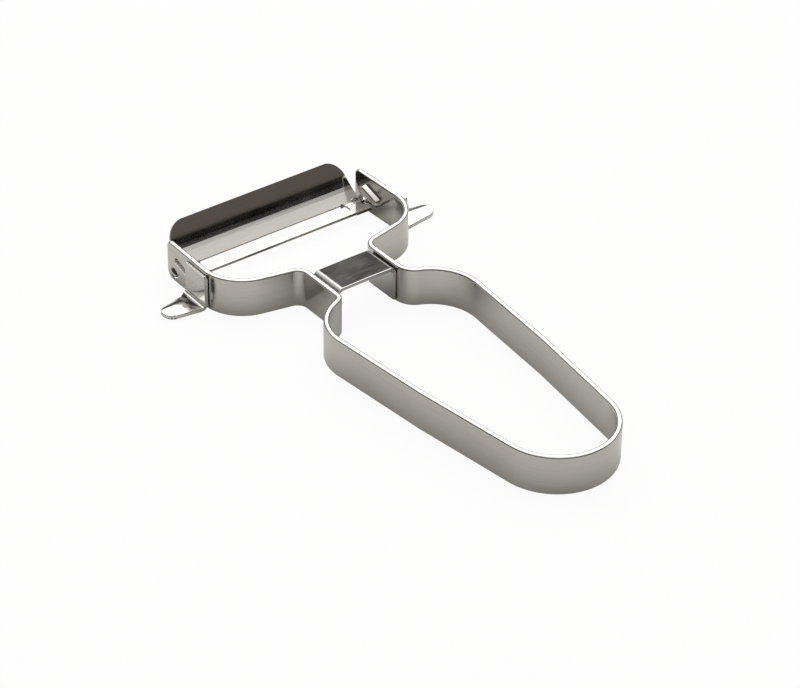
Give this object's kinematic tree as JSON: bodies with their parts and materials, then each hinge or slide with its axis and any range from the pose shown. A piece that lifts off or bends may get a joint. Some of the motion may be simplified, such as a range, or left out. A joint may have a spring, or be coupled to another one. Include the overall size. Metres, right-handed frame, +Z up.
{
  "type": "vegetable peeler",
  "caption": "All-steel vegetable peeler bent from one flat strip, with a neck bridge, side eye removers and a slotted blade that swivels across its head.",
  "frame": {"origin": "bottom centre of the whole peeler's bounding box, on the plane that the strip's lower edge rests on", "axes": "+Y from the handle end to the blade, +X to the right seen from above with the blade away from the viewer, +Z up out of the plane that the strip stands on"},
  "size_m": [0.087, 0.1414, 0.012],
  "materials": {
    "frame_steel": "polished",
    "bridge_steel": "polished",
    "remover_steel": "polished",
    "blade_steel": "polished"
  },
  "bodies": {
    "handle": {"handle_frame": "frame_steel", "neck_bridge": "bridge_steel", "eye_remover_left": "remover_steel", "eye_remover_right": "remover_steel"},
    "blade": {"swivel_blade": "blade_steel"}
  },
  "joints": [
    {"name": "blade_swivel", "type": "hinge", "parent": "handle", "child": "blade", "pos_m": [0, 0.06175, 0.00245], "axis": [1, 0, 0], "range_deg": [-15, 52]}
  ]
}
